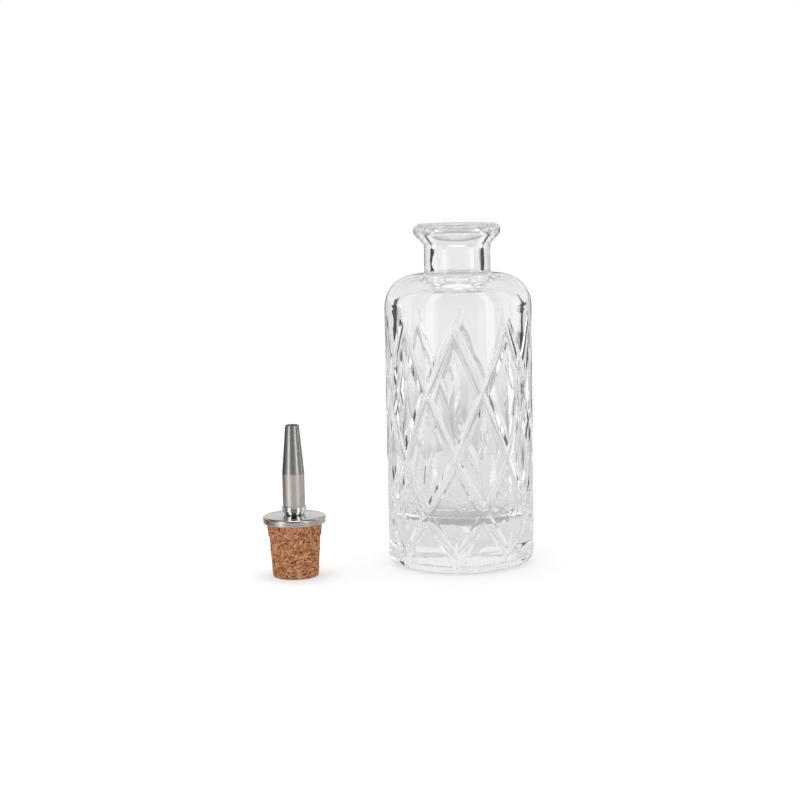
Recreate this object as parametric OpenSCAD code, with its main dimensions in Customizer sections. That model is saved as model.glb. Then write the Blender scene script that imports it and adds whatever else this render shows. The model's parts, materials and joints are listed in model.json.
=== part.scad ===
// Small cut-glass bottle with a cork dasher stopper that stands beside it.
// Millimetres, +Z up. The origin is the centre of the bottle's foot, on the surface it stands on.

/* [Bottle] */
// Height from the foot to the top of the lip
bottle_h = 132; // [114:1:170]
// Outer diameter of the body
body_d = 56.8; // [50:0.2:70]
// Thickness of the glass round the body, before it is cut
body_wall = 4.4; // [3:0.1:6]
// Thickness of the solid glass at the bottom
base_h = 17; // [8:0.5:20]
// Rounding of the shoulder
shoulder_r = 12.5; // [9:0.5:15]
// Rounding of the heel
heel_r = 4.8; // [2:0.2:6]
// Rounding inside, where the wall meets the floor
floor_r = 10; // [4:0.5:13]

/* [Neck] */
// Outer diameter of the neck
neck_d = 25.4; // [22:0.1:27]
// Diameter of the bore that the cork is pushed into
bore_d = 18; // [16:0.1:19.5]
// Height of the neck and lip above the shoulder
neck_h = 19.3; // [15:0.1:26]
// Outer diameter of the lip
lip_d = 33.5; // [32:0.1:38]
// Height of the flare from the neck to the top of the lip
flare_h = 7.8; // [6.8:0.1:10]
// Radius of the round bead along the lip
lip_r = 2.6; // [2:0.1:3]
// Depth of the funnel from the top of the lip down to the bore
mouth_h = 6.6; // [6:0.1:9]
// Rounding where the neck stands on the shoulder
neck_fillet = 1.2; // [0.6:0.1:2]

/* [Cut lattice] */
// Cuts in each direction round the bottle
lattice_count = 8; // [6:1:10]
// Height of the upper crossings above the foot
lattice_top = 93.4; // [87:0.1:98]
// Height of each row of crossings below the one above it
row_steps = [24.3, 25.6, 20.5, 18]; // [15:0.1:30]
// Width of the flat floor of a cut
cut_floor = 2.6; // [1.5:0.1:3.5]
// Width of each sloping side of a cut
cut_bevel = 0.9; // [0.4:0.1:1.4]
// Depth of the cuts
cut_depth = 0.9; // [0.4:0.1:1.4]
// Width of the upright lens cut in each diamond
lens_w = 5; // [2:0.1:7]
// Depth of the lens cut
lens_depth = 0.7; // [0.3:0.1:1.2]
// Share of its diamond's height that a lens cut takes up
lens_share = 0.72; // [0.4:0.02:0.85]
// Turn of the lattice about the bottle's axis, as it stands
lattice_turn = -5.8; // [-22.5:0.1:22.5]

/* [Stopper] */
// Place of the stopper to the left of the bottle's axis
stopper_x = -64.1; // [-90:0.1:-50]
// Place of the stopper in front of the bottle's axis
stopper_y = -20.5; // [-50:0.5:30]
// Height of the cork
cork_h = 20.6; // [15:0.1:28]
// Diameter of the cork under the disc
cork_top_d = 21; // [19.5:0.1:22]
// Diameter of the cork at its small end
cork_foot_d = 17.4; // [14:0.1:17.5]
// Length at the top of the cork that has not been squeezed by the neck
cork_free_h = 4.8; // [2:0.1:8]
// Depth of the step left where the cork has been squeezed
cork_step = 0.35; // [0.1:0.05:0.8]
// Diameter of the steel disc
disc_d = 23.8; // [23:0.1:28]
// Height of the disc's rim
disc_h = 2.6; // [1.6:0.1:4]
// Rise of the disc's top from its rim to its middle
disc_crown = 0.5; // [0.2:0.1:1]

/* [Spout] */
// Diameter of the straight part of the spout
spout_d = 8.4; // [7:0.1:9]
// Length of the straight part, from the top of the collar
spout_straight = 12.4; // [6:0.1:20]
// Length of the taper
spout_taper = 18.6; // [10:0.1:26]
// Diameter of the spout's tip
tip_d = 5.1; // [4.6:0.1:6.4]
// Thickness of the steel at the tip
tip_wall = 0.6; // [0.4:0.1:0.9]
// Diameter of the collar at the foot of the spout
collar_d = 9.3; // [8.8:0.1:12]
// Height of the collar
collar_h = 3.3; // [2.6:0.1:5]
// Height of the grooved ring at the top of the collar
collar_ring_h = 2; // [1:0.1:2.4]
// Diameter of the collar where it stands on the disc
collar_foot_d = 6.6; // [6.2:0.1:7.6]
// Outer diameter of the stem that runs down through the cork
stem_d = 5.2; // [4.4:0.1:5.6]
// Diameter of the passage through the stem
stem_bore_d = 3.6; // [2:0.1:4]
// Length of the stem that is pushed up into the spout
stem_grip = 6; // [3:0.5:10]
// Length of the bore's full width past the start of the taper
bore_into_taper = 1; // [0:0.5:4]
// Diameter of the hole that lets out one drop at a time
drop_d = 1.6; // [0.8:0.1:2.4]
// Length of the insert that holds the drop hole
insert_h = 3; // [1.5:0.1:5]
// Depth of the insert below the end of the tip
insert_recess = 1; // [0.3:0.1:3]
// Clearance round a pushed or pressed fit
fit_gap = 0.05; // [0.02:0.01:0.1]

/* [Hidden] */
$fn = 96;
over = 1;
body_r = body_d / 2;
inner_r = body_r - body_wall;
neck_r = neck_d / 2;
bore_r = bore_d / 2;
shoulder_z = bottle_h - neck_h;
flare_z = bottle_h - flare_h;
// Middle of the round bead along the lip
bead = [lip_d / 2 - lip_r, bottle_h - lip_r];
cavity_top = shoulder_z - body_wall;
bore_edge_r = 1.5;

// Heights of the rows of crossings, from the top row down
function total(steps, count) = count == 0 ? 0 : steps[count - 1] + total(steps, count - 1);
last_row = len(row_steps);
row_z = [for (row = [0 : last_row]) lattice_top - total(row_steps, row)];
floor_level = body_r - cut_depth;
// Half the distance round the body from one crossing to the next in its row
half_pitch = PI * body_r / lattice_count;
bevel_slope = cut_bevel / cut_depth;
// The edge of a cut is laid out in this many steps, so that it follows the round body
edge_steps = 3;
lens_steps = 8;

disc_z = cork_h;
disc_top = disc_z + disc_h;
collar_z = disc_top + disc_crown;
spout_z = collar_z + collar_h;
taper_z = spout_z + spout_straight;
tip_z = taper_z + spout_taper;
stem_hole_d = stem_d + 2 * fit_gap;
tip_bore_d = tip_d - 2 * tip_wall;
// The spout's bore narrows from the stem's size to the tip's along this length
neckdown_h = 1;
neckdown_z = taper_z + bore_into_taper;

function inward(a, b) = [a[1] - b[1], b[0] - a[0]] / norm(b - a);
// A corner b of an outline that runs anticlockwise, moved in by w from both of its edges
function moved_in(a, b, c, w) =
    let (n = inward(a, b), m = inward(b, c))
    b + w * (n + m) / (1 + n * m);
function inset(outline, w) =
    let (n = len(outline))
    [for (i = [0 : n - 1]) moved_in(outline[(i + n - 1) % n], outline[i], outline[(i + 1) % n], w)];
function stepped(outline) =
    let (n = len(outline))
    [for (i = [0 : n - 1], k = [0 : edge_steps - 1])
        outline[i] + (outline[(i + 1) % n] - outline[i]) * k / edge_steps];
// A point of the unrolled surface, laid on a cylinder of radius r
function laid_on(p, r) =
    let (turn = p[0] / body_r * 180 / PI)
    [r * cos(turn), r * sin(turn), p[1]];
function cut_edge(r) = cut_floor / 2 + bevel_slope * (r - floor_level);

// The raised glass between the cuts: a block whose sides are the sloping sides of the cuts
module raised_block(outline, middle) {
    r_low = floor_level - over;
    r_high = body_r + over;
    low = [for (p = stepped(inset(outline, cut_edge(r_low)))) laid_on(p, r_low)];
    high = [for (p = stepped(inset(outline, cut_edge(r_high)))) laid_on(p, r_high)];
    n = len(low);
    // The outer end stands out past the curve of the widest block
    bulge_r = 1.3 * r_high;
    ends = [laid_on([0, middle], r_low - over), laid_on([0, middle], bulge_r)];
    sides = [for (i = [0 : n - 1]) each [[i, n + i, (i + 1) % n], [n + i, n + (i + 1) % n, (i + 1) % n]]];
    inner_end = [for (i = [0 : n - 1]) [2 * n, i, (i + 1) % n]];
    outer_end = [for (i = [0 : n - 1]) [2 * n + 1, n + (i + 1) % n, n + i]];
    polyhedron(points = concat(low, high, ends), faces = concat(sides, inner_end, outer_end));
}

// One diamond, between the crossings above, beside and below it
module diamond(row) {
    z = row_z[row];
    raised_block([[0, row_z[row - 1]], [-half_pitch, z], [0, row_z[row + 1]], [half_pitch, z]], z);
}

// Smooth glass that reaches down or up into the lattice with a point, from beyond its last row
module tongue(point_row, end_row) {
    // Past the side crossings, so that neighbours run into each other
    reach = 1.5 * half_pitch;
    point = row_z[point_row];
    wide = point + (row_z[end_row] - point) * reach / half_pitch;
    side = sign(row_z[end_row] - point);
    raised_block([[0, point], [side * reach, wide], [-side * reach, wide]], (point + wide) / 2);
}

// An upright V-shaped cut that is widest and deepest at the middle of its diamond
module lens_cut(row) {
    z = row_z[row];
    rise = (row_z[row - 1] - z) * lens_share;
    drop = (z - row_z[row + 1]) * lens_share;
    slope = lens_w / 2 / lens_depth;
    past_tip = 1.06;
    shares = [for (i = [0 : lens_steps]) (2 * i / lens_steps - 1) * past_tip];
    points = [for (t = shares)
        let (depth = lens_depth * (1 - t * t), at = z + t * (t > 0 ? rise : drop))
        each [
            laid_on([0, at], body_r - depth),
            laid_on([slope * (depth + over), at], body_r + over),
            laid_on([-slope * (depth + over), at], body_r + over)
        ]];
    last = 3 * lens_steps;
    sides = [for (i = [0 : lens_steps - 1], k = [0 : 2])
        let (a = 3 * i + k, b = 3 * i + (k + 1) % 3)
        each [[a, b, a + 3], [b, b + 3, a + 3]]];
    polyhedron(points = points, faces = concat(sides, [[0, 2, 1], [last, last + 1, last + 2]]));
}

module round_the_body(row) {
    for (i = [0 : lattice_count - 1])
        rotate([0, 0, lattice_turn - 90 + (i + (row % 2 == 0 ? 0.5 : 0)) * 360 / lattice_count])
            children();
}

// Half outline of an upright round vessel with rounded edges
module vessel_half(r, low, high, low_r, high_r) {
    translate([0, low + low_r])
        square([r, high - low - low_r - high_r]);
    translate([0, low])
        square([r - low_r, low_r + over]);
    translate([0, high - high_r - over])
        square([r - high_r, high_r + over]);
    translate([r - low_r, low + low_r])
        circle(r = low_r);
    translate([r - high_r, high - high_r])
        circle(r = high_r);
}

// Where a straight slope from a foot touches the bead, on its outer side (-1) or its inner side (1)
function touch(foot, side) =
    let (
        reach = norm(bead - foot),
        lean = atan2(bead[1] - foot[1], bead[0] - foot[0]) + side * asin(lip_r / reach)
    )
    foot + sqrt(reach * reach - lip_r * lip_r) * [cos(lean), sin(lean)];

// The flare from the neck to the lip, a straight slope that runs into the round bead
module lip_half() {
    foot = [neck_r, flare_z];
    polygon([[0, foot[1]], foot, touch(foot, -1), bead, [bead[0], bottle_h], [0, bottle_h]]);
    translate(bead)
        circle(r = lip_r);
}

module blank_half() {
    vessel_half(body_r, 0, shoulder_z, heel_r, shoulder_r);
    translate([0, shoulder_z - over])
        square([neck_r, flare_z - shoulder_z + 2 * over]);
    difference() {
        translate([0, shoulder_z - over])
            square([neck_r + neck_fillet, neck_fillet + over]);
        translate([neck_r + neck_fillet, shoulder_z + neck_fillet])
            circle(r = neck_fillet);
    }
    lip_half();
}

module cavity_half() {
    vessel_half(inner_r, base_h, cavity_top, floor_r, shoulder_r - body_wall);
    translate([0, cavity_top - over])
        square([bore_r, bottle_h - cavity_top + 2 * over]);
    difference() {
        translate([0, cavity_top - over])
            square([bore_r + bore_edge_r, bore_edge_r + over]);
        translate([bore_r + bore_edge_r, cavity_top + bore_edge_r])
            circle(r = bore_edge_r);
    }
    mouth_foot = [bore_r, bottle_h - mouth_h];
    mouth_top = bottle_h + over;
    difference() {
        polygon([[0, mouth_foot[1]], mouth_foot, touch(mouth_foot, 1), bead, [bead[0], mouth_top], [0, mouth_top]]);
        translate(bead)
            circle(r = lip_r);
    }
}

// Everything that the cuts leave standing
module left_standing() {
    cylinder(r = floor_level, h = bottle_h);
    smooth_z = row_z[0] + (cut_floor / 2 + cut_bevel) / sin(atan(half_pitch / row_steps[0]));
    translate([0, 0, smooth_z])
        cylinder(r = body_r + over, h = bottle_h - smooth_z + over);
    round_the_body(0)
        tongue(1, 0);
    for (row = [1 : last_row - 1])
        round_the_body(row)
            diamond(row);
    round_the_body(last_row)
        tongue(last_row - 1, last_row);
}

module glass_bottle() {
    color([0.86, 0.9, 0.91, 0.45])
        difference() {
            intersection() {
                rotate_extrude()
                    blank_half();
                left_standing();
            }
            for (row = [1 : last_row - 1])
                round_the_body(row)
                    lens_cut(row);
            rotate_extrude()
                cavity_half();
        }
}

module at_stopper(z) {
    translate([stopper_x, stopper_y, z])
        children();
}

module cork() {
    step_z = cork_h - cork_free_h;
    slope = (cork_top_d - cork_foot_d) / 2 / cork_h;
    foot_edge = 0.5;
    color([0.74, 0.5, 0.32])
        at_stopper(0)
            rotate_extrude()
                polygon([
                    [stem_hole_d / 2, 0],
                    [cork_foot_d / 2 - foot_edge, 0],
                    [cork_foot_d / 2, foot_edge],
                    [cork_foot_d / 2 + slope * step_z - cork_step, step_z - cork_step],
                    [cork_foot_d / 2 + slope * step_z, step_z],
                    [cork_top_d / 2, cork_h],
                    [stem_hole_d / 2, cork_h]
                ]);
}

module cap_disc() {
    edge = 0.4;
    crown_r = (disc_d * disc_d / 4 + disc_crown * disc_crown) / (2 * disc_crown);
    color([0.75, 0.75, 0.74])
        at_stopper(disc_z)
            rotate_extrude()
                difference() {
                    intersection() {
                        union() {
                            translate([0, edge])
                                square([disc_d / 2, disc_h + disc_crown]);
                            square([disc_d / 2 - edge, disc_h]);
                            translate([disc_d / 2 - edge, edge])
                                circle(r = edge);
                        }
                        translate([0, disc_h + disc_crown - crown_r])
                            circle(r = crown_r, $fn = 360);
                        square([disc_d, disc_h + disc_crown]);
                    }
                    square([stem_hole_d / 2, 2 * (disc_h + disc_crown)]);
                }
}

module collar() {
    foot_h = collar_h - collar_ring_h;
    groove_r = 0.22;
    color([0.8, 0.8, 0.8])
        at_stopper(collar_z)
            rotate_extrude()
                difference() {
                    union() {
                        polygon([
                            [stem_hole_d / 2, 0],
                            [collar_foot_d / 2, 0],
                            [collar_d / 2 - groove_r, foot_h],
                            [stem_hole_d / 2, foot_h]
                        ]);
                        translate([stem_hole_d / 2, foot_h])
                            square([(collar_d - stem_hole_d) / 2, collar_ring_h]);
                    }
                    translate([collar_d / 2, foot_h + collar_ring_h / 2])
                        circle(r = groove_r);
                    translate([collar_d / 2, foot_h])
                        circle(r = groove_r);
                }
}

module spout_tube() {
    color([0.66, 0.65, 0.64])
        at_stopper(0)
            rotate_extrude()
                polygon([
                    [stem_hole_d / 2, spout_z],
                    [spout_d / 2, spout_z],
                    [spout_d / 2, taper_z],
                    [tip_d / 2, tip_z - tip_wall / 2],
                    [tip_d / 2 - tip_wall / 2, tip_z],
                    [tip_bore_d / 2, tip_z],
                    [tip_bore_d / 2, neckdown_z + neckdown_h],
                    [stem_hole_d / 2, neckdown_z]
                ]);
}

module stem_tube() {
    foot_edge = 0.3;
    color([0.7, 0.7, 0.69])
        at_stopper(0)
            rotate_extrude()
                polygon([
                    [stem_bore_d / 2, 0],
                    [stem_d / 2 - foot_edge, 0],
                    [stem_d / 2, foot_edge],
                    [stem_d / 2, spout_z + stem_grip],
                    [stem_bore_d / 2, spout_z + stem_grip]
                ]);
}

module dash_insert() {
    insert_r = tip_bore_d / 2 - fit_gap;
    color([0.12, 0.12, 0.12])
        at_stopper(tip_z - insert_recess - insert_h)
            difference() {
                cylinder(r = insert_r, h = insert_h);
                translate([0, 0, -over])
                    cylinder(d = drop_d, h = insert_h + 2 * over);
            }
}

glass_bottle();
cork();
cap_disc();
collar();
spout_tube();
stem_tube();
dash_insert();
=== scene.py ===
import json
import math

import bmesh
import bpy
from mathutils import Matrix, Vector, noise


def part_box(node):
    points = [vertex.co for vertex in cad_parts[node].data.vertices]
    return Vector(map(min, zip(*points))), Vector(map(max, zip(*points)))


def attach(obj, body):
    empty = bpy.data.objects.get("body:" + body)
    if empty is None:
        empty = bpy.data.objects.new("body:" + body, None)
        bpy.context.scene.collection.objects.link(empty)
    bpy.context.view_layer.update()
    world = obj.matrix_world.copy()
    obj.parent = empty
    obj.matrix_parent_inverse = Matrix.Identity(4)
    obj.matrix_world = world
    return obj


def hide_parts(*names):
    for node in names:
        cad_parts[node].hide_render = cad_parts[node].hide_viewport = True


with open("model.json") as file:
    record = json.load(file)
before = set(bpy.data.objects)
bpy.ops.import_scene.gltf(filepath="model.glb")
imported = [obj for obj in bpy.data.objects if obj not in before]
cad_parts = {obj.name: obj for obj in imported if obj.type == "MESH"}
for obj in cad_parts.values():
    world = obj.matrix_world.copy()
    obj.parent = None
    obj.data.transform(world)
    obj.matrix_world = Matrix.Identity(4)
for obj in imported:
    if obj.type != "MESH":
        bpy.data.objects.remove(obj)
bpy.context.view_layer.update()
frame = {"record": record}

# The glass bottle
# One piece of clear glass, pressed and blown: a round body with a lattice of straps cut into it, a
# plain rounded shoulder, a short neck and a thick flared lip. Its bottom is solid.

MM = 0.001
WELD = 2e-6
TOUCH = 0.01 * MM
BOTTLE_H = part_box("glass_bottle")[1].z
BODY_R = 28.4 * MM
WALL = 4.4 * MM
BASE_H = 17 * MM
SHOULDER_R = 12.5 * MM
SHOULDER_Z = BOTTLE_H - 19.3 * MM
LATTICE_TOP_Z = BOTTLE_H - 32.2 * MM
BOTTOM_ROUND = 10 * MM
NECK_R = 12.7 * MM
NECK_FILLET = 1.2 * MM
mounts = {mount["name"]: mount for mount in frame["record"]["mounts"]}
BORE_R = mounts["neck_bore"]["dims"]["r_mm"] * MM
BORE_EDGE_R = 1.5 * MM
LIP_OUT_R = 16.75 * MM
LIP_ROUND = 2.6 * MM
FLARE_Z = BOTTLE_H - 7.8 * MM
FLARE_ROUND = 4.5 * MM
MOUTH_Z = BOTTLE_H - 6.6 * MM
MOUTH_ROUND = 6 * MM
HEEL_R = 4.8 * MM
FOOT_RING_R = 21 * MM
FOOT_RING_ROUND = 1 * MM
HOLLOW_R = 17 * MM
HOLLOW_ROUND = 6 * MM
HOLLOW_EDGE_H = 0.9 * MM
HOLLOW_H = 1.1 * MM

CUTS = 8
ROW_Z = [z * MM for z in (93.4, 69.1, 43.5, 23.0, 5.0)]
LATTICE_TURN = math.radians(-95.8)
HALF_PITCH = math.pi * BODY_R / CUTS
CUT_FLOOR = 2.6 * MM
CUT_BEVEL = 0.9 * MM
CUT_DEPTH = 0.9 * MM
CUT_HOLLOW = 0.3 * MM
CUT_EDGE_ROUND = 0.35 * MM
LENS_W = 5 * MM
LENS_DEPTH = 0.7 * MM
LENS_SHARE = 0.72
SIDE_STEPS = 16
COLUMNS = 2 * SIDE_STEPS * CUTS
FACE_RINGS = 3
UPPER_TONGUE_RINGS = 12
LOWER_TONGUE_RINGS = 14


def outline(*corners, arc_step=math.radians(10), line_step=None):
    """Points along straight lines from corner to corner. A corner is (x, z) or (x, z, rounding)."""
    points = []
    for i, corner in enumerate(corners):
        here = Vector(corner[:2])
        rounding = corner[2] if len(corner) > 2 else 0
        arc = [here]
        if rounding:
            back = (Vector(corners[i - 1][:2]) - here).normalized()
            on = (Vector(corners[(i + 1) % len(corners)][:2]) - here).normalized()
            turn = math.pi - back.angle(on)
            reach = rounding * math.tan(turn / 2)
            steps = max(2, math.ceil(turn / arc_step))
            centre = here + (back + on).normalized() * rounding / math.cos(turn / 2)
            first, last = here + back * reach - centre, here + on * reach - centre
            arc = []
            for k in range(steps + 1):
                share = k / steps
                swung = first * math.sin(turn * (1 - share)) + last * math.sin(turn * share)
                arc.append(centre + swung / math.sin(turn))
        if line_step and points:
            start, end = points[-1], arc[0]
            pieces = math.ceil((end - start).length / line_step)
            points += [start.lerp(end, k / pieces) for k in range(1, pieces)]
        points += arc
    return points


class Shell:
    """A mesh in the making: rows of points on a round body, joined by faces."""

    def __init__(self):
        self.points = []
        self.faces = []

    def row(self, points):
        self.points += points
        return list(range(len(self.points) - len(points), len(self.points)))

    def join(self, lower, upper, closed=False):
        count = len(lower)
        for i in range(count if closed else count - 1):
            j = (i + 1) % count
            self.faces.append((lower[i], lower[j], upper[j], upper[i]))

    def join_rows(self, rows, closed=False):
        for lower, upper in zip(rows, rows[1:]):
            self.join(lower, upper, closed)

    def made(self, name, body, material, node):
        mesh = bpy.data.meshes.new(name)
        mesh.from_pydata(self.points, [], self.faces)
        work = bmesh.new()
        work.from_mesh(mesh)
        bmesh.ops.remove_doubles(work, verts=work.verts, dist=WELD)
        bmesh.ops.dissolve_degenerate(work, edges=work.edges, dist=WELD)
        bmesh.ops.recalc_face_normals(work, faces=work.faces)
        work.to_mesh(mesh)
        work.free()
        mesh.shade_smooth()
        piece = bpy.data.objects.new(name, mesh)
        bpy.context.scene.collection.objects.link(piece)
        mesh.materials.append(material)
        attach(piece, body)
        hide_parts(node)
        even = piece.modifiers.new("even_shading", "WEIGHTED_NORMAL")
        even.keep_sharp = True
        return piece


def around(turn, r, z):
    return Vector((r * math.cos(turn), r * math.sin(turn), z))


def blank_r(z):
    """Radius of the uncut body: straight, with the rounded heel at the bottom."""
    if z >= HEEL_R:
        return BODY_R
    return BODY_R - HEEL_R + math.sqrt(max(HEEL_R**2 - (HEEL_R - z) ** 2, 0))


def on_body(middle, x, z, depth):
    """A point of the unrolled surface, x along the girth from the middle turn, cut to a depth."""
    z = max(z, 0)
    return around(middle + x / BODY_R, min(blank_r(z), BODY_R - depth), z)


# Half section of a cut, from its middle out: distance from the middle, and depth
cut_section = outline(
    (0, CUT_DEPTH + CUT_HOLLOW),
    (CUT_FLOOR * 0.25, CUT_DEPTH + CUT_HOLLOW * 0.8),
    (CUT_FLOOR / 2, CUT_DEPTH, CUT_EDGE_ROUND),
    (CUT_FLOOR / 2 + CUT_BEVEL, 0, CUT_EDGE_ROUND),
    (CUT_FLOOR / 2 + CUT_BEVEL + CUT_EDGE_ROUND, 0),
    arc_step=math.radians(16),
)
# Half section of a lens cut, from outside its edge to its middle: share of its half width and depth
lens_section = [(1.04, 0), (0.97, 0.02), (0.9, 0.09), (0.5, 0.5), (0.1, 0.9), (0.03, 0.96), (0, 0.97)]


def diamond(glass, middle, row):
    """One cell between four crossings, from the middle of the cuts round it to its lens cut."""
    z = ROW_Z[row]
    rise, drop = ROW_Z[row - 1] - z, z - ROW_Z[row + 1]
    lean_up = math.hypot(1, rise / HALF_PITCH)
    lean_down = math.hypot(1, drop / HALF_PITCH)

    def ring(inset, depth):
        top = Vector((0, z + rise - inset * lean_up))
        bottom = Vector((0, z - drop + inset * lean_down))
        side_x = HALF_PITCH * (1 - inset * (lean_up + lean_down) / (rise + drop))
        side_z = top.y - rise / HALF_PITCH * side_x
        corners = [top, Vector((-side_x, side_z)), bottom, Vector((side_x, side_z))]
        return [
            (*corners[k].lerp(corners[(k + 1) % 4], i / SIDE_STEPS), depth)
            for k in range(4)
            for i in range(SIDE_STEPS)
        ]

    def lens_ring(width, depth):
        points = []
        for k in range(4 * SIDE_STEPS):
            along = k / SIDE_STEPS
            t = 1 - along if along <= 2 else along - 3
            side = -1 if along <= 2 else 1
            bulge = 1 - t * t
            height = z + t * LENS_SHARE * (rise if t > 0 else drop)
            points.append((side * width * bulge * LENS_W / 2, height, depth * bulge * LENS_DEPTH))
        return points

    rings = [ring(inset, depth) for inset, depth in cut_section]
    lens = [lens_ring(width, depth) for width, depth in lens_section]
    cut_edge, lens_edge = rings[-1], lens[0]
    for k in range(1, FACE_RINGS + 1):
        share = k / (FACE_RINGS + 1)
        rings.append([tuple(Vector(a).lerp(Vector(b), share)) for a, b in zip(cut_edge, lens_edge)])
    rings += lens
    rows = [glass.row([on_body(middle, *point) for point in ring]) for ring in rings]
    glass.join_rows(rows, closed=True)


def tongue(glass, middle, point_z, wide_z, end_z, rings, ease):
    """Smooth glass that reaches into the lattice with a point, out to a level ring at end_z."""
    side = 1 if end_z > point_z else -1
    slope = (wide_z - point_z) / HALF_PITCH
    lean = side * math.hypot(1, slope)
    spots = [HALF_PITCH * (i / SIDE_STEPS - 1) for i in range(2 * SIDE_STEPS + 1)]
    rows = []
    for inset, depth in cut_section:
        rows.append([(x, point_z + slope * abs(x) + inset * lean, depth) for x in spots])
    edge = rows[-1]
    for k in range(1, rings + 1):
        share = ease(k / rings)
        rows.append([(x, z + (end_z - z) * share, 0) for x, z, depth in edge])
    glass.join_rows([glass.row([on_body(middle, *point) for point in row]) for row in rows])


def evenly(share):
    return share


def slowing(share):
    return math.sin(math.pi / 2 * share)


def turned_rows(shell, points, columns, start=0, wave=None, axis=Vector((0, 0, 0))):
    """Level rings for a turned outline; a point on the axis is one ring drawn together."""
    rows = []
    for r, z in points:
        ring = []
        for i in range(columns):
            place = around(start + 2 * math.pi * i / columns, r, z)
            ring.append(axis + (wave(place) if wave else place))
        rows.append(shell.row(ring))
    return rows


def waves(place, *lengths_and_heights):
    """Waves added up at a place, in millimetres. Each has a length and a height, in millimetres."""
    return sum(noise.noise(place / (length * MM)) * height for length, height in lengths_and_heights)


NEAR_AXIS = 1 * MM
BORE_WAVE = 6 * MM
BORE_WAVE_MM = 0.22
BORE_WIDER_SHARE = 0.2
FLOOR_EDGE_R = BODY_R - WALL - BOTTOM_ROUND * 0.4
FLOOR_BAND = 2.2 * MM
FLOOR_FADE = 5 * MM
STREAK_W = 2.6 * MM
STREAK_MM = 0.03
STREAK_STRETCH = 0.15


def blown(place):
    """The inside was shaped by air: faint upright streaks on its walls, waves in its floor and bore."""
    out = Vector((place.x, place.y, 0))
    if out.length < NEAR_AXIS or out.length > BODY_R - WALL + TOUCH:
        return place
    if place.z > SHOULDER_Z - WALL:
        if out.length >= BORE_R + TOUCH:
            return place
        ripple = (noise.noise(place / BORE_WAVE) - BORE_WIDER_SHARE) * BORE_WAVE_MM
        return place + out.normalized() * ripple * MM
    if place.z < BASE_H + FLOOR_BAND and out.length < FLOOR_EDGE_R:
        fade = min((FLOOR_EDGE_R - out.length) / FLOOR_FADE, 1)
        return place + Vector((0, 0, waves(place, (7, 1.2), (3, 0.35)) * fade * MM))
    streak = noise.noise(Vector((place.x, place.y, place.z * STREAK_STRETCH)) / STREAK_W)
    ripple = waves(place, (9, 0.1), (4, 0.05)) + streak * STREAK_MM
    return place + out.normalized() * ripple * MM


class Link:
    """A shader socket that can be written in sums: each sum adds the Math node that works it out."""

    def __init__(self, finish, socket):
        self.finish = finish
        self.socket = socket

    def _sum(self, operation, *parts):
        return self.finish.node("ShaderNodeMath", {"operation": operation}, dict(enumerate(parts)))

    def __add__(self, other):
        return self._sum("ADD", self, other)

    def __sub__(self, other):
        return self._sum("SUBTRACT", self, other)

    def __rsub__(self, other):
        return self._sum("SUBTRACT", other, self)

    def __mul__(self, other):
        return self._sum("MULTIPLY", self, other)

    def __truediv__(self, other):
        return self._sum("DIVIDE", self, other)

    def __gt__(self, other):
        return self._sum("GREATER_THAN", self, other)

    def __abs__(self):
        return self._sum("ABSOLUTE", self)

    __radd__ = __add__
    __rmul__ = __mul__


class Finish:
    """A material, or the light all round, with its nodes."""

    def __init__(self, owner):
        self.owner = owner
        owner.use_nodes = True
        self.tree = owner.node_tree
        self.tree.nodes.clear()

    def node(self, kind, settings=None, sockets=None, out=0):
        """A new node: first its settings, or a ramp's stops, then its sockets. Gives one output."""
        node = self.tree.nodes.new(kind)
        for name, value in (settings or {}).items():
            if name == "stops":
                ramp = node.color_ramp
                while len(ramp.elements) < len(value):
                    ramp.elements.new(1)
                for element, (place, colour) in zip(ramp.elements, value):
                    element.position = place
                    element.color = (*colour, 1)
            else:
                setattr(node, name, value)
        for name, value in (sockets or {}).items():
            if isinstance(value, Link):
                self.tree.links.new(value.socket, node.inputs[name])
            else:
                node.inputs[name].default_value = value
        return Link(self, node.outputs[out])

    def ends_in(self, shader, kind="ShaderNodeOutputMaterial"):
        self.tree.links.new(shader.socket, self.tree.nodes.new(kind).inputs["Surface"])
        return self.owner


def clear_glass():
    """Clear glass with the faint waves of a fire-polished skin. A lamp's rays go straight through
    it and lose a little at each face, so that its shadow on the table stays pale."""
    glass = Finish(bpy.data.materials.new("clear_glass"))
    place = glass.node("ShaderNodeTexCoord", out="Object")
    ripple = glass.node("ShaderNodeTexNoise", {}, {"Vector": place, "Scale": 90.0, "Detail": 1.0})
    skin = glass.node("ShaderNodeBump", {}, {"Height": ripple, "Strength": 0.04, "Distance": 0.001})
    surface = glass.node(
        "ShaderNodeBsdfPrincipled",
        {},
        {
            "Base Color": (0.988, 0.986, 0.987, 1),
            "Roughness": 0.0,
            "IOR": 1.5,
            "Transmission Weight": 1.0,
            "Normal": skin,
        },
    )
    through = glass.node("ShaderNodeBsdfTransparent", {}, {"Color": (0.82, 0.825, 0.823, 1)})
    lamp_ray = glass.node("ShaderNodeLightPath", out="Is Shadow Ray")
    return glass.ends_in(glass.node("ShaderNodeMixShader", {}, {0: lamp_ray, 1: surface, 2: through}))


bottle = Shell()
for i in range(CUTS):
    crossing = LATTICE_TURN + 2 * math.pi * i / CUTS
    halfway = crossing + math.pi / CUTS
    for row in range(1, len(ROW_Z) - 1):
        diamond(bottle, crossing if row % 2 else halfway, row)
    tongue(bottle, halfway, ROW_Z[1], ROW_Z[0], LATTICE_TOP_Z, UPPER_TONGUE_RINGS, evenly)
    tongue(bottle, halfway, ROW_Z[-2], ROW_Z[-1], 0, LOWER_TONGUE_RINGS, slowing)

bead = Vector((LIP_OUT_R - LIP_ROUND, BOTTLE_H - LIP_ROUND))


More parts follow.
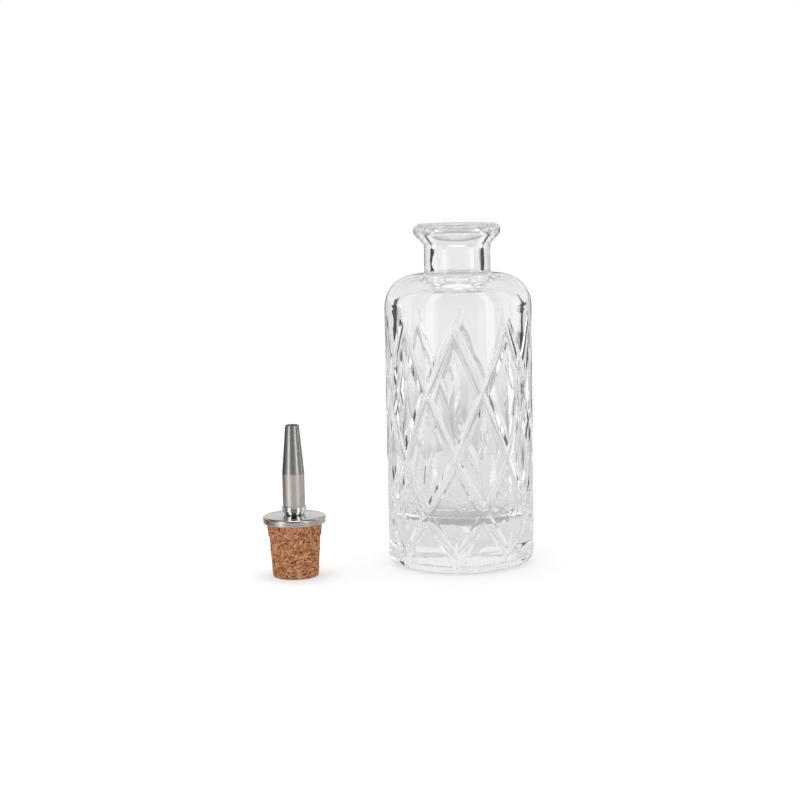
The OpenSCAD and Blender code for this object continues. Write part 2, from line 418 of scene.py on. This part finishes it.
def slope_to_bead(r, z, side):
    """Slope of the straight stretch from a foot to the bead of the lip, outside (-1) or inside (1)."""
    to_bead = bead - Vector((r, z))
    return math.tan(math.atan2(to_bead.y, to_bead.x) + side * math.asin(LIP_ROUND / to_bead.length))


lip_under_z = FLARE_Z + (LIP_OUT_R - NECK_R) * slope_to_bead(NECK_R, FLARE_Z, -1)
mouth_edge_r = BORE_R + (BOTTLE_H - MOUTH_Z) / slope_to_bead(BORE_R, MOUTH_Z, 1)
upper = outline(
    (BODY_R, LATTICE_TOP_Z),
    (BODY_R, SHOULDER_Z, SHOULDER_R),
    (NECK_R, SHOULDER_Z, NECK_FILLET),
    (NECK_R, FLARE_Z, FLARE_ROUND),
    (LIP_OUT_R, lip_under_z, LIP_ROUND),
    (LIP_OUT_R, BOTTLE_H, LIP_ROUND),
    (mouth_edge_r, BOTTLE_H, LIP_ROUND),
    (BORE_R, MOUTH_Z, MOUTH_ROUND),
    (BORE_R, SHOULDER_Z - WALL, BORE_EDGE_R),
    (BODY_R - WALL, SHOULDER_Z - WALL, SHOULDER_R - WALL),
    (BODY_R - WALL, BASE_H, BOTTOM_ROUND),
    (0, BASE_H),
    arc_step=math.radians(6),
    line_step=2.5 * MM,
)
bottle.join_rows(turned_rows(bottle, upper, COLUMNS, LATTICE_TURN, blown), closed=True)
foot = outline(
    (BODY_R - HEEL_R, 0),
    (FOOT_RING_R, 0, FOOT_RING_ROUND),
    (HOLLOW_R, HOLLOW_EDGE_H, HOLLOW_ROUND),
    (0, HOLLOW_H),
    line_step=3 * MM,
)
bottle.join_rows(turned_rows(bottle, foot, COLUMNS, LATTICE_TURN), closed=True)
bottle.made("cut_glass_bottle", "bottle", clear_glass(), "glass_bottle")

# The cork
# A tapered plug of agglomerated cork, ground to shape and bored for the stem. The neck has squeezed
# all but its top few millimetres, and small grains have fallen out of its sides.

disc_low, disc_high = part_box("cap_disc")
STOPPER_AXIS = Vector(((disc_low.x + disc_high.x) / 2, (disc_low.y + disc_high.y) / 2, 0))
CORK_H = 20.6 * MM
CORK_TOP_R = 10.5 * MM
CORK_FOOT_R = 8.7 * MM
CORK_EDGE = 0.6 * MM
CORK_STEP = 0.35 * MM
CORK_STEP_ROUND = 0.3 * MM
STEP_Z = CORK_H - 4.8 * MM
STEP_R = CORK_FOOT_R + (CORK_TOP_R - CORK_FOOT_R) * STEP_Z / CORK_H
STEP_BAND = 1.2 * MM
STEP_SAG_MM = 0.6
STEM_HOLE_R = 2.65 * MM
GRAIN = 1.25 * MM
PIT_W = 1.05 * MM
PIT_FLATTER = 1.5
PIT_FROM = 0.32
PIT_RIM = 0.14
PIT_DEPTH_MM = 0.45
PIT_PLACE = Vector((31, 7, 12))

# Places of a Mix node's sockets, as its colour and its vector sockets bear the same names
VECTOR_A, VECTOR_B, VECTOR_OUT = 4, 5, 1
COLOUR_A, COLOUR_B, COLOUR_OUT = 6, 7, 2


def torn(place):
    """1 in the pits where a grain has fallen out, 0 on the whole surface."""
    flat = Vector((place.x, place.y, place.z * PIT_FLATTER)) / PIT_W
    depth = noise.noise(flat + PIT_PLACE) + 0.4 * noise.noise(flat * 2.3)
    return min(max((depth - PIT_FROM) / PIT_RIM, 0), 1)


def ground(place):
    """Grains of cork stand out or have torn away, and the edge of the squeezed part runs unevenly."""
    out = Vector((place.x, place.y, 0))
    if out.length < CORK_FOOT_R - CORK_EDGE:
        return place
    grain = waves(place, (0.9, 0.05), (4, 0.1))
    sag = noise.noise(out / (3.5 * MM)) * math.exp(-(((place.z - STEP_Z) / STEP_BAND) ** 2))
    relief = out.normalized() * (grain - torn(place) * PIT_DEPTH_MM) * MM
    return place + relief + Vector((0, 0, sag * STEP_SAG_MM * MM))


def agglomerated_cork():
    """Ground cork pressed together: grains of many browns, thin dark seams, painted shade in torn pits.
    """
    cork = Finish(bpy.data.materials.new("agglomerated_cork"))
    place = cork.node("ShaderNodeTexCoord", out="Object")
    wander = cork.node(
        "ShaderNodeTexNoise", {}, {"Vector": place, "Scale": 900.0, "Detail": 4.0}, out="Color"
    )
    warped = cork.node(
        "ShaderNodeMix",
        {"data_type": "VECTOR"},
        {"Factor": 0.0014, VECTOR_A: place, VECTOR_B: wander},
        out=VECTOR_OUT,
    )
    flat = cork.node("ShaderNodeVectorMath", {"operation": "MULTIPLY"}, {0: warped, 1: (1, 1, 1.35)})
    grains = cork.node("ShaderNodeTexVoronoi", {}, {"Vector": flat, "Scale": 1 / GRAIN}, out="Color")
    seams = cork.node(
        "ShaderNodeTexVoronoi",
        {"feature": "DISTANCE_TO_EDGE"},
        {"Vector": flat, "Scale": 1 / GRAIN},
        out="Distance",
    )
    tone = cork.node("ShaderNodeSeparateColor", {}, {0: grains}, out="Red")
    fine = cork.node(
        "ShaderNodeTexNoise", {}, {"Vector": flat, "Scale": 2700.0, "Detail": 5.0, "Roughness": 0.7}
    )
    broad = cork.node(
        "ShaderNodeTexNoise", {}, {"Vector": flat, "Scale": 800.0, "Detail": 4.0, "Roughness": 0.6}
    )
    brown = cork.node(
        "ShaderNodeValToRGB",
        {
            "stops": [
                (0.2, (0.13, 0.042, 0.018)),
                (0.36, (0.42, 0.145, 0.058)),
                (0.5, (0.65, 0.27, 0.115)),
                (0.64, (0.82, 0.4, 0.19)),
                (0.86, (0.92, 0.64, 0.38)),
            ]
        },
        {0: tone * 0.26 + fine * 1.25 + broad * 1.1 - 0.79},
    )
    whole = cork.node(
        "ShaderNodeMapRange", {}, {"Value": seams + fine * 0.1, "From Min": 0.06, "From Max": 0.16}
    )
    # Painted shade: the torn pits are darkened towards a dark brown, following the pit mask on the
    # points.
    pit = cork.node("ShaderNodeAttribute", {"attribute_name": "pit"}, out="Fac")
    dark = cork.node("ShaderNodeMapRange", {}, {"Value": pit, "From Min": 0.0, "From Max": 0.6})
    lined = cork.node(
        "ShaderNodeMix",
        {"data_type": "RGBA", "blend_type": "MULTIPLY"},
        {"Factor": (1 - whole) * 0.4, COLOUR_A: brown, COLOUR_B: (0.45, 0.27, 0.18, 1)},
        out=COLOUR_OUT,
    )
    shade_in_pits = cork.node(
        "ShaderNodeMix",
        {"data_type": "RGBA"},
        {"Factor": dark * 0.9, COLOUR_A: lined, COLOUR_B: (0.14, 0.045, 0.018, 1)},
        out=COLOUR_OUT,
    )
    relief = cork.node(
        "ShaderNodeBump", {}, {"Height": whole * 0.4 + fine, "Strength": 0.6, "Distance": 0.0002}
    )
    return cork.ends_in(
        cork.node(
            "ShaderNodeBsdfPrincipled", {}, {"Base Color": shade_in_pits, "Roughness": 0.82, "Normal": relief}
        )
    )


cork = Shell()
plug = outline(
    (STEM_HOLE_R, 0),
    (CORK_FOOT_R, 0, CORK_EDGE),
    (STEP_R - CORK_STEP, STEP_Z - CORK_STEP, CORK_STEP_ROUND),
    (STEP_R, STEP_Z + CORK_STEP, CORK_STEP_ROUND),
    (CORK_TOP_R, CORK_H),
    (STEM_HOLE_R, CORK_H),
    line_step=0.28 * MM,
)
rows = turned_rows(cork, plug, 216, wave=ground, axis=STOPPER_AXIS)
cork.join_rows(rows + rows[:1], closed=True)
cork_piece = cork.made("cork_plug", "stopper", agglomerated_cork(), "cork")
# The pit mask is stored on the points, and the cork's material paints shade into the pits from it.
pits = cork_piece.data.attributes.new("pit", "FLOAT", "POINT")
for point, pit in zip(cork_piece.data.vertices, pits.data):
    near_axis = (point.co - STOPPER_AXIS).to_2d().length < CORK_FOOT_R - CORK_EDGE
    pit.value = 0 if near_axis else torn(point.co - STOPPER_AXIS)

# The disc
# A round plate of polished stainless steel, slightly crowned, with a satin rim. It covers the top of
# the cork, and the stem passes through its middle.

DISC_R = 11.9 * MM
DISC_H = 2.6 * MM
CROWN = 0.5 * MM
DISC_FOOT_EDGE = 0.35 * MM
DISC_TOP_EDGE = 0.7 * MM
DISC_TOP = CORK_H + DISC_H
RIM_W = 0.15 * MM


def turned_steel(name, colour, roughness, grooves, depth, patches, rim_from=1.0):
    """Stainless steel with the fine rings that the lathe and the polishing wheel leave. From the
    radius rim_from out it is satin and darker; a piece that doesn't reach that far has no such rim."""
    steel = Finish(bpy.data.materials.new(name))
    place = steel.node("ShaderNodeTexCoord", out="Object")
    local = steel.node("ShaderNodeVectorMath", {"operation": "SUBTRACT"}, {0: place, 1: STOPPER_AXIS})
    height = steel.node("ShaderNodeSeparateXYZ", {}, {0: local}, out="Z")
    flat = steel.node("ShaderNodeVectorMath", {"operation": "MULTIPLY"}, {0: local, 1: (1, 1, 0)})
    from_axis = steel.node("ShaderNodeVectorMath", {"operation": "LENGTH"}, {0: flat}, out="Value")
    along = steel.node("ShaderNodeCombineXYZ", {}, {"X": from_axis, "Y": height, "Z": 0.0})
    rings = steel.node(
        "ShaderNodeTexNoise", {}, {"Vector": along, "Scale": grooves, "Detail": 4.0, "Roughness": 0.6}
    )
    cloud = steel.node(
        "ShaderNodeTexNoise", {}, {"Vector": local, "Scale": 2200.0, "Detail": 5.0, "Roughness": 0.75}
    )
    dull = tuple(c * (1 - patches) for c in colour)
    tone = steel.node(
        "ShaderNodeMix",
        {"data_type": "RGBA"},
        {"Factor": rings * 0.5 + cloud * 0.5, COLOUR_A: (*dull, 1), COLOUR_B: (*colour, 1)},
        out=COLOUR_OUT,
    )
    rim = from_axis > rim_from
    rimmed = steel.node(
        "ShaderNodeMix",
        {"data_type": "RGBA", "blend_type": "MULTIPLY"},
        {"Factor": rim, COLOUR_A: tone, COLOUR_B: (0.7, 0.67, 0.65, 1)},
        out=COLOUR_OUT,
    )
    relief = steel.node(
        "ShaderNodeBump", {}, {"Height": rings + cloud * 0.5, "Strength": depth, "Distance": 0.00002}
    )
    return steel.ends_in(
        steel.node(
            "ShaderNodeBsdfPrincipled",
            {},
            {
                "Base Color": rimmed,
                "Metallic": 1.0,
                "Roughness": roughness * (0.4 + cloud * 1.2) + rim * 0.14,
                "Normal": relief,
            },
        )
    )


disc = Shell()
crown = [
    (DISC_R * share, DISC_TOP + CROWN * (1 - share**2)) for share in (0.92, 0.85, 0.7, 0.55, 0.4, 0.3)
]
plate = outline(
    (STEM_HOLE_R, CORK_H),
    (DISC_R, CORK_H, DISC_FOOT_EDGE),
    (DISC_R, DISC_TOP, DISC_TOP_EDGE),
    *crown,
    (STEM_HOLE_R, DISC_TOP + CROWN),
)
rows = turned_rows(disc, plate, 192, axis=STOPPER_AXIS)
disc.join_rows(rows + rows[:1], closed=True)
disc_steel = turned_steel(
    "disc_steel",
    (0.74, 0.73, 0.71),
    roughness=0.12,
    grooves=9000.0,
    depth=0.15,
    patches=0.12,
    rim_from=DISC_R - RIM_W,
)
disc.made("steel_disc", "stopper", disc_steel, "cap_disc")

# The collar
# A polished ring turned from stainless steel, with a groove round its middle and a bowl below that
# narrows to the disc. It is pushed over the stem and holds the foot of the spout.

COLLAR_R = 4.65 * MM
COLLAR_FOOT_R = 3.3 * MM
COLLAR_Z = DISC_TOP + CROWN
RING_Z = COLLAR_Z + 1.3 * MM
COLLAR_TOP = COLLAR_Z + 3.3 * MM
COLLAR_MIDDLE = (RING_Z + COLLAR_TOP) / 2
GROOVE = 0.28 * MM
BEAD_ROUND = 0.38 * MM

collar = Shell()
ring_outline = outline(
    (STEM_HOLE_R, COLLAR_Z),
    (COLLAR_FOOT_R, COLLAR_Z, 0.1 * MM),
    (COLLAR_FOOT_R + 0.75 * MM, COLLAR_Z + 0.35 * MM, 0.6 * MM),
    (COLLAR_R - GROOVE, RING_Z - 0.1 * MM, 0.15 * MM),
    (COLLAR_R - GROOVE, RING_Z + 0.12 * MM, 0.1 * MM),
    (COLLAR_R, RING_Z + 0.2 * MM, BEAD_ROUND),
    (COLLAR_R, COLLAR_MIDDLE - GROOVE, BEAD_ROUND),
    (COLLAR_R - GROOVE, COLLAR_MIDDLE, 0.06 * MM),
    (COLLAR_R, COLLAR_MIDDLE + GROOVE, BEAD_ROUND),
    (COLLAR_R, COLLAR_TOP, 0.45 * MM),
    (STEM_HOLE_R, COLLAR_TOP),
    arc_step=math.radians(12),
)
rows = turned_rows(collar, ring_outline, 160, axis=STOPPER_AXIS)
collar.join_rows(rows + rows[:1], closed=True)
collar_steel = turned_steel(
    "collar_steel", (0.8, 0.79, 0.78), roughness=0.03, grooves=12000.0, depth=0.05, patches=0.05
)
collar.made("grooved_collar", "stopper", collar_steel, "collar")

# The spout
# A tube of satin stainless steel, straight at first and then drawn to a taper that was left as
# drawn, so it is darker and coarser. Its foot stands on the collar.

SPOUT_R = 4.2 * MM
TAPER_Z = COLLAR_TOP + 12.4 * MM
TAPER_EDGE = 0.05 * MM
TIP_Z = TAPER_Z + 18.6 * MM
TIP_R = 2.55 * MM
TIP_WALL = 0.6 * MM
BORE_NARROWS_Z = TAPER_Z + 1 * MM
BORE_NARROWS_OVER = 1 * MM


def satin_steel():
    """Brushed lengthwise below. Above the line where the taper begins, dark and gritty."""
    steel = Finish(bpy.data.materials.new("satin_steel"))
    place = steel.node("ShaderNodeTexCoord", out="Object")
    height = steel.node("ShaderNodeSeparateXYZ", {}, {0: place}, out="Z")
    drawn = steel.node(
        "ShaderNodeMapRange",
        {},
        {"Value": height, "From Min": TAPER_Z - TAPER_EDGE, "From Max": TAPER_Z + TAPER_EDGE},
    )
    grit = steel.node(
        "ShaderNodeTexNoise", {}, {"Vector": place, "Scale": 3800.0, "Detail": 4.0, "Roughness": 0.8}
    )
    long = steel.node("ShaderNodeVectorMath", {"operation": "MULTIPLY"}, {0: place, 1: (1, 1, 0.05)})
    lines = steel.node("ShaderNodeTexNoise", {}, {"Vector": long, "Scale": 5200.0, "Detail": 3.0})
    straight = steel.node(
        "ShaderNodeMix",
        {"data_type": "RGBA"},
        {"Factor": lines, COLOUR_A: (0.54, 0.49, 0.455, 1), COLOUR_B: (0.64, 0.585, 0.545, 1)},
        out=COLOUR_OUT,
    )
    taper = steel.node(
        "ShaderNodeMix",
        {"data_type": "RGBA"},
        {"Factor": grit, COLOUR_A: (0.13, 0.124, 0.115, 1), COLOUR_B: (0.56, 0.54, 0.515, 1)},
        out=COLOUR_OUT,
    )
    colour = steel.node(
        "ShaderNodeMix",
        {"data_type": "RGBA"},
        {"Factor": drawn, COLOUR_A: straight, COLOUR_B: taper},
        out=COLOUR_OUT,
    )
    relief = steel.node(
        "ShaderNodeBump", {}, {"Height": grit * drawn + lines * 0.3, "Strength": 0.3, "Distance": 0.00003}
    )
    return steel.ends_in(
        steel.node(
            "ShaderNodeBsdfPrincipled",
            {},
            {"Base Color": colour, "Metallic": 1.0, "Roughness": 0.42 - drawn * 0.12, "Normal": relief},
        )
    )


spout = Shell()
tube = outline(
    (STEM_HOLE_R, COLLAR_TOP),
    (SPOUT_R, COLLAR_TOP, 0.1 * MM),
    (SPOUT_R, TAPER_Z, 0.6 * MM),
    (TIP_R, TIP_Z, 0.25 * MM),
    (TIP_R - TIP_WALL, TIP_Z, 0.2 * MM),
    (TIP_R - TIP_WALL, BORE_NARROWS_Z + BORE_NARROWS_OVER),
    (STEM_HOLE_R, BORE_NARROWS_Z),
    arc_step=math.radians(8),
    line_step=1 * MM,
)
rows = turned_rows(spout, tube, 128, axis=STOPPER_AXIS)
spout.join_rows(rows + rows[:1], closed=True)
spout.made("tapered_spout", "stopper", satin_steel(), "spout_tube")

# The stem
# A thin stainless tube down the middle of the stopper. It joins the spout to the disc and the cork,
# and its lower end is flush with the foot of the cork.

STEM_R = 2.6 * MM
STEM_BORE_R = 1.8 * MM
STEM_GRIP = 6 * MM
STEM_END_ROUND = 0.15 * MM

stem = Shell()
pipe = outline(
    (STEM_BORE_R, 0, STEM_END_ROUND),
    (STEM_R, 0, 0.3 * MM),
    (STEM_R, COLLAR_TOP + STEM_GRIP, STEM_END_ROUND),
    (STEM_BORE_R, COLLAR_TOP + STEM_GRIP, STEM_END_ROUND),
    line_step=2 * MM,
)
rows = turned_rows(stem, pipe, 96, axis=STOPPER_AXIS)
stem.join_rows(rows + rows[:1], closed=True)
stem_steel = turned_steel(
    "stem_steel", (0.64, 0.62, 0.6), roughness=0.25, grooves=9000.0, depth=0.2, patches=0.2
)
stem.made("stem_pipe", "stopper", stem_steel, "stem_tube")

# The dash insert
# A small moulded plug of black plastic, pushed into the tip of the spout. The hole through it lets
# out one drop at a time.

INSERT_R = TIP_R - TIP_WALL - 0.05 * MM
INSERT_ROUND = 0.15 * MM
DROP_R = 0.8 * MM
DROP_EDGE_ROUND = 0.3 * MM
INSERT_TOP = TIP_Z - 1 * MM
INSERT_H = 3 * MM


def black_insert():
    """Moulded plastic with a fine grain."""
    moulded = Finish(bpy.data.materials.new("black_insert"))
    place = moulded.node("ShaderNodeTexCoord", out="Object")
    grain = moulded.node("ShaderNodeTexNoise", {}, {"Vector": place, "Scale": 4000.0, "Detail": 3.0})
    relief = moulded.node("ShaderNodeBump", {}, {"Height": grain, "Strength": 0.2, "Distance": 0.00003})
    colour = moulded.node(
        "ShaderNodeMix",
        {"data_type": "RGBA"},
        {"Factor": grain, COLOUR_A: (0.016, 0.016, 0.017, 1), COLOUR_B: (0.035, 0.035, 0.036, 1)},
        out=COLOUR_OUT,
    )
    return moulded.ends_in(
        moulded.node(
            "ShaderNodeBsdfPrincipled", {}, {"Base Color": colour, "Roughness": 0.5, "Normal": relief}
        )
    )


insert = Shell()
drop_plug = outline(
    (DROP_R, INSERT_TOP - INSERT_H, INSERT_ROUND),
    (INSERT_R, INSERT_TOP - INSERT_H, INSERT_ROUND),
    (INSERT_R, INSERT_TOP, INSERT_ROUND),
    (DROP_R, INSERT_TOP, DROP_EDGE_ROUND),
    line_step=0.8 * MM,
)
rows = turned_rows(insert, drop_plug, 72, axis=STOPPER_AXIS)
insert.join_rows(rows + rows[:1], closed=True)
insert.made("drop_insert", "stopper", black_insert(), "dash_insert")

# The floor, the light and the camera
# A sheet of white paper with rounded corners lies under the part, soft light comes from all round and
# from a lamp overhead, and the camera has the photograph's angle and lens.

PAPER_SIDE = 0.15
PAPER_FRONT = 0.6
PAPER_BACK = 0.25
PAPER_CORNER = 0.02
PAPER_Z = -0.02 * MM


def white_floor():
    """Matt paper. The camera sees it a little brighter than the light makes it, so that it is white."""
    paper = Finish(bpy.data.materials.new("white_floor"))
    seen = paper.node("ShaderNodeLightPath", out="Is Camera Ray")
    matt = paper.node("ShaderNodeBsdfDiffuse", {}, {"Color": (0.76, 0.76, 0.76, 1)})
    lit = paper.node("ShaderNodeEmission", {}, {"Color": (1, 1, 1, 1), "Strength": 0.32})
    shown = paper.node("ShaderNodeAddShader", {}, {0: matt, 1: lit})
    return paper.ends_in(paper.node("ShaderNodeMixShader", {}, {0: seen, 1: matt, 2: shown}))


paper_edge = outline(
    (-PAPER_SIDE, -PAPER_FRONT, PAPER_CORNER),
    (PAPER_SIDE, -PAPER_FRONT, PAPER_CORNER),
    (PAPER_SIDE, PAPER_BACK, PAPER_CORNER),
    (-PAPER_SIDE, PAPER_BACK, PAPER_CORNER),
)
floor_mesh = bpy.data.meshes.new("floor")
floor_mesh.from_pydata([(*corner, PAPER_Z) for corner in paper_edge], [], [list(range(len(paper_edge)))])
floor_mesh.materials.append(white_floor())
floor_piece = bpy.data.objects.new("floor", floor_mesh)
bpy.context.scene.collection.objects.link(floor_piece)

# Angles in degrees: turns are 0 straight behind the part, 90 to its right and 180 in front of it,
# and heights are 0 at the horizon. A black flag is its middle turn and half width, then its middle
# height and half height.
BLACK_FLAGS = ((-50, 17, -1.5, 4), (-46, 4, -2, 24), (50, 18, -1.5, 4), (46, 4, -2, 24))
FLAG_BLACK = 0.97
FLAG_SOFT = 0.2
PLAIN_LIGHT = 0.72


def studio():
    """Light all round. Glass shows a backdrop with bright wings and black flags. Metal mirrors a
    dim room with two upright strip lights in front. Both have a light overhead."""
    world = bpy.context.scene.world or bpy.data.worlds.new("studio")
    bpy.context.scene.world = world
    sky = Finish(world)
    way = sky.node("ShaderNodeTexCoord", out="Generated")
    x, y, z = [sky.node("ShaderNodeSeparateXYZ", {}, {0: way}, out=axis) for axis in "XYZ"]
    turn = sky.node("ShaderNodeMath", {"operation": "ARCTAN2"}, {0: x, 1: y}) * (180 / math.pi)
    height = sky.node("ShaderNodeMath", {"operation": "ARCSINE"}, {0: z}) * (180 / math.pi)

    def past(value, edge, soft):
        return sky.node(
            "ShaderNodeMapRange",
            {"interpolation_type": "SMOOTHSTEP"},
            {"Value": value, "From Min": edge - soft, "From Max": edge + soft},
        )

    def between(value, low, high, soft):
        return past(value, low, soft) - past(value, high, soft)

    def flag(middle, half_width, height_there, half_height):
        across = (turn - middle) / half_width
        up = (height - height_there) / half_height
        inside = 1 - across * across - up * up
        return sky.node("ShaderNodeMapRange", {}, {"Value": inside, "From Max": FLAG_SOFT})

    sides = abs(turn)
    left, left_upright, right, right_upright = [flag(*place) for place in BLACK_FLAGS]
    all_flags = left + left_upright + right + right_upright
    flags = sky.node("ShaderNodeMath", {"operation": "MINIMUM"}, {0: all_flags, 1: 1.0})
    wings = between(sides, 60, 84, 5) * between(height, -40, 50, 6)
    camera_side = between(sides, 100, 200, 6) * between(height, -3, 44, 3)
    backdrop = 0.5 + 0.37 * between(height, -8, 60, 3) + 0.75 * wings - 0.22 * camera_side
    through = backdrop * (1 - FLAG_BLACK * flags) + 2.0 * between(height, 78, 200, 3)

    cores = between(turn, -141, -126, 2) + between(turn, 124, 138, 2)
    panels = between(turn, -147, -107, 2) + between(turn, 124, 151, 2)
    strips = (cores + 0.35 * panels) * between(height, -14, 56, 3)
    overhead = between(height, 76, 200, 1.5)
    behind = between(sides, -10, 80, 6)
    low = between(height, -20, 4, 2)
    front = between(turn, -200, -95, 6) + between(turn, 138, 200, 4)
    room = (
        0.36
        + 0.4 * behind * between(height, 4, 30, 3)
        - 0.28 * behind * low
        + 0.24 * between(sides, 142, 200, 5) * low
        - 0.24 * between(height, 18, 72, 4)
        - 0.22 * front * between(height, 0, 44, 3)
    )
    mirrored = room + 2.1 * strips + 2.8 * overhead

    shown = sky.node("ShaderNodeBackground", {}, {"Color": (1, 1, 1, 1), "Strength": PLAIN_LIGHT})
    lights = (("Is Glossy Ray", mirrored), ("Is Transmission Ray", through), ("Is Camera Ray", 1.0))
    for ray, strength in lights:
        light = sky.node("ShaderNodeBackground", {}, {"Color": (1, 1, 1, 1), "Strength": strength})
        path = sky.node("ShaderNodeLightPath", out=ray)
        shown = sky.node("ShaderNodeMixShader", {}, {0: path, 1: shown, 2: light})
    sky.ends_in(shown, "ShaderNodeOutputWorld")


studio()

LAMP_SIDE = 0.9
LAMP_WATTS = 5.5
LAMP_PLACE = (-0.08, 0.12, 1.3)

lamp_data = bpy.data.lights.new("overhead_softbox", "AREA")
lamp_data.shape = "RECTANGLE"
lamp_data.size = LAMP_SIDE
lamp_data.size_y = LAMP_SIDE
lamp_data.energy = LAMP_WATTS
lamp = bpy.data.objects.new("overhead_softbox", lamp_data)
lamp.location = LAMP_PLACE
lamp.visible_glossy = False
lamp.visible_transmission = False
bpy.context.scene.collection.objects.link(lamp)

PICTURE_SIDE = 800
FOCAL_PIXELS = 1820
CAMERA_PLACE = (-0.02305, -0.702, 0.1558)
LOOKS_DOWN = 7.45
ROLL = -1.1
BOUNCES = 32

camera_data = bpy.data.cameras.new("camera")
camera_data.lens = FOCAL_PIXELS / PICTURE_SIDE * camera_data.sensor_width
camera = bpy.data.objects.new("camera", camera_data)
camera.location = CAMERA_PLACE
camera.rotation_mode = "ZXY"
camera.rotation_euler = (math.radians(90 - LOOKS_DOWN), 0, math.radians(ROLL))
bpy.context.scene.collection.objects.link(camera)
bpy.context.scene.camera = camera

# Light crosses many faces of the glass before it comes out
bpy.context.scene.cycles.max_bounces = BOUNCES
bpy.context.scene.cycles.transmission_bounces = BOUNCES
bpy.context.scene.cycles.glossy_bounces = BOUNCES
bpy.context.scene.view_settings.view_transform = "Standard"
